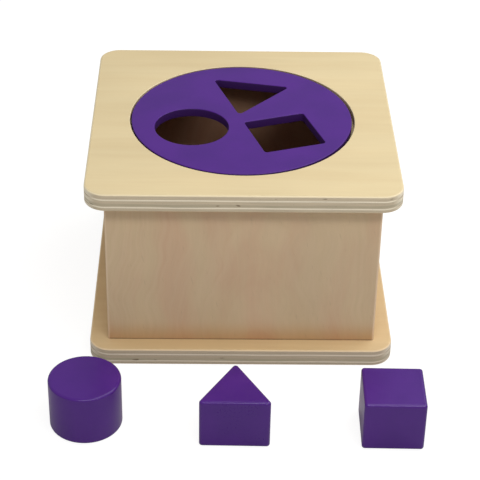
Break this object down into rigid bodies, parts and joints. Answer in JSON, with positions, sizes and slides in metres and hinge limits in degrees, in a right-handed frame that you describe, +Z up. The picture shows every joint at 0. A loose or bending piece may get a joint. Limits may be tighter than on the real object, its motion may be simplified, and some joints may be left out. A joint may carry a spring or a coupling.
{
  "type": "shape sorter box",
  "caption": "Square wooden shape sorter box with overhanging plywood top and base, a lift-out painted lid disc with shaped cut-outs, and loose painted blocks that drop through them.",
  "frame": {"origin": "centre of the base board's underside", "axes": "+Z up, the front of the box faces -Y, +X is the viewer's right"},
  "size_m": [0.2334, 0.2847, 0.131],
  "materials": {
    "plywood": "pale birch plywood, sanded and clear satin lacquer, with layered edges",
    "wall_wood": "pale solid wood with upright grain, clear satin lacquer",
    "purple_paint": "wood under smooth satin purple paint",
    "dowel_wood": "plain beech dowel",
    "zinc_steel": "zinc-plated steel"
  },
  "bodies": {
    "box": {"base_board": "plywood", "top_board": "plywood", "front_wall": "wall_wood", "right_wall": "wall_wood", "back_wall": "wall_wood", "left_wall": "wall_wood", "top_dowel_front_1": "dowel_wood", "top_dowel_front_2": "dowel_wood", "top_dowel_right_1": "dowel_wood", "top_dowel_right_2": "dowel_wood", "top_dowel_back_1": "dowel_wood", "top_dowel_back_2": "dowel_wood", "top_dowel_left_1": "dowel_wood", "top_dowel_left_2": "dowel_wood", "corner_dowel_front_left_lower": "dowel_wood", "corner_dowel_front_left_upper": "dowel_wood", "corner_dowel_back_left_lower": "dowel_wood", "corner_dowel_back_left_upper": "dowel_wood", "corner_dowel_front_right_lower": "dowel_wood", "corner_dowel_front_right_upper": "dowel_wood", "corner_dowel_back_right_lower": "dowel_wood", "corner_dowel_back_right_upper": "dowel_wood", "base_screw_front_1": "zinc_steel", "base_screw_front_2": "zinc_steel", "base_screw_right_1": "zinc_steel", "base_screw_right_2": "zinc_steel", "base_screw_back_1": "zinc_steel", "base_screw_back_2": "zinc_steel", "base_screw_left_1": "zinc_steel", "base_screw_left_2": "zinc_steel"},
    "disc": {"shape_disc": "purple_paint"},
    "round_piece": {"round_block": "purple_paint"},
    "triangle_piece": {"triangle_block": "purple_paint"},
    "square_piece": {"square_block": "purple_paint"}
  },
  "joints": [
    {"name": "disc_lift", "type": "slide", "parent": "box", "child": "disc", "axis": [0, 0, 1], "range_m": [0, 0.06]},
    {"name": "round_block_lift", "type": "slide", "parent": "box", "child": "round_piece", "axis": [0, 0, 1], "range_m": [0, 0.18]},
    {"name": "triangle_block_lift", "type": "slide", "parent": "box", "child": "triangle_piece", "axis": [0, 0, 1], "range_m": [0, 0.18]},
    {"name": "square_block_lift", "type": "slide", "parent": "box", "child": "square_piece", "axis": [0, 0, 1], "range_m": [0, 0.18]}
  ]
}
